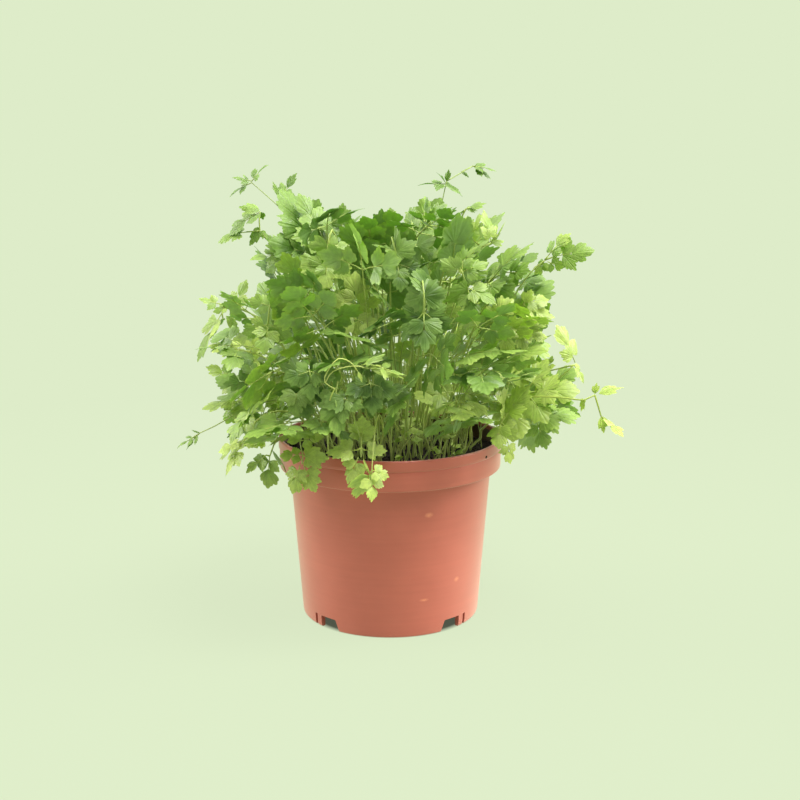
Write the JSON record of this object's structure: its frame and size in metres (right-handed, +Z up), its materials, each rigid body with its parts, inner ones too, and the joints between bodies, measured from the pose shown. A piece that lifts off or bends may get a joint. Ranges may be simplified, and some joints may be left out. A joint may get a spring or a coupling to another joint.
{
  "type": "potted parsley",
  "caption": "Flat-leaf parsley in a terracotta-coloured nursery pot: stepped rim band, notched foot, dark potting medium, and a loose head of stalked three-lobed leaves that hang over the rim.",
  "frame": {"origin": "centre of the pot's foot, on the surface it stands on", "axes": "+Z up along the pot's axis; -Y is the front, which the leaves over the rim face; +X to the right"},
  "size_m": [0.25, 0.1959, 0.2611],
  "materials": {
    "pot": "smooth moulded terracotta-coloured plastic with a soft sheen",
    "medium": "dark moist crumbly potting medium",
    "leaf_deep": "satin deep green leaf, paler veins",
    "leaf_green": "satin mid green leaf, paler veins",
    "leaf_young": "satin yellow-green young leaf"
  },
  "bodies": {
    "root": {"pot": "pot", "soil": "medium", "parsley_leaf_01": "leaf_deep", "parsley_leaf_02": "leaf_deep", "parsley_leaf_03": "leaf_green", "parsley_leaf_04": "leaf_deep", "parsley_leaf_05": "leaf_green", "parsley_leaf_06": "leaf_green", "parsley_leaf_07": "leaf_deep", "parsley_leaf_08": "leaf_young", "parsley_leaf_09": "leaf_green", "parsley_leaf_10": "leaf_green", "parsley_leaf_11": "leaf_green", "parsley_leaf_12": "leaf_green", "parsley_leaf_13": "leaf_green", "parsley_leaf_14": "leaf_young", "parsley_leaf_15": "leaf_green", "parsley_leaf_16": "leaf_green", "parsley_leaf_17": "leaf_green", "parsley_leaf_18": "leaf_green", "parsley_leaf_19": "leaf_deep", "parsley_leaf_20": "leaf_green", "parsley_leaf_21": "leaf_green", "parsley_leaf_22": "leaf_green", "parsley_leaf_23": "leaf_green", "parsley_leaf_24": "leaf_green", "parsley_leaf_25": "leaf_deep", "parsley_leaf_26": "leaf_green", "parsley_leaf_27": "leaf_deep", "parsley_leaf_28": "leaf_deep", "parsley_leaf_29": "leaf_green", "parsley_leaf_30": "leaf_deep", "parsley_leaf_31": "leaf_deep", "parsley_leaf_32": "leaf_green", "parsley_leaf_33": "leaf_green", "parsley_leaf_34": "leaf_green", "parsley_leaf_35": "leaf_green", "parsley_leaf_36": "leaf_green", "parsley_leaf_37": "leaf_green", "parsley_leaf_38": "leaf_green", "parsley_leaf_39": "leaf_green", "parsley_leaf_40": "leaf_deep", "parsley_leaf_41": "leaf_deep", "parsley_leaf_42": "leaf_young", "parsley_leaf_43": "leaf_young", "parsley_leaf_44": "leaf_deep", "parsley_leaf_45": "leaf_green", "parsley_leaf_46": "leaf_green", "parsley_leaf_47": "leaf_young", "parsley_leaf_48": "leaf_deep", "parsley_leaf_49": "leaf_green", "parsley_leaf_50": "leaf_green", "parsley_leaf_51": "leaf_young", "parsley_leaf_52": "leaf_green", "parsley_leaf_53": "leaf_young", "parsley_leaf_54": "leaf_deep", "parsley_leaf_55": "leaf_young", "parsley_leaf_56": "leaf_young"}
  },
  "joints": []
}
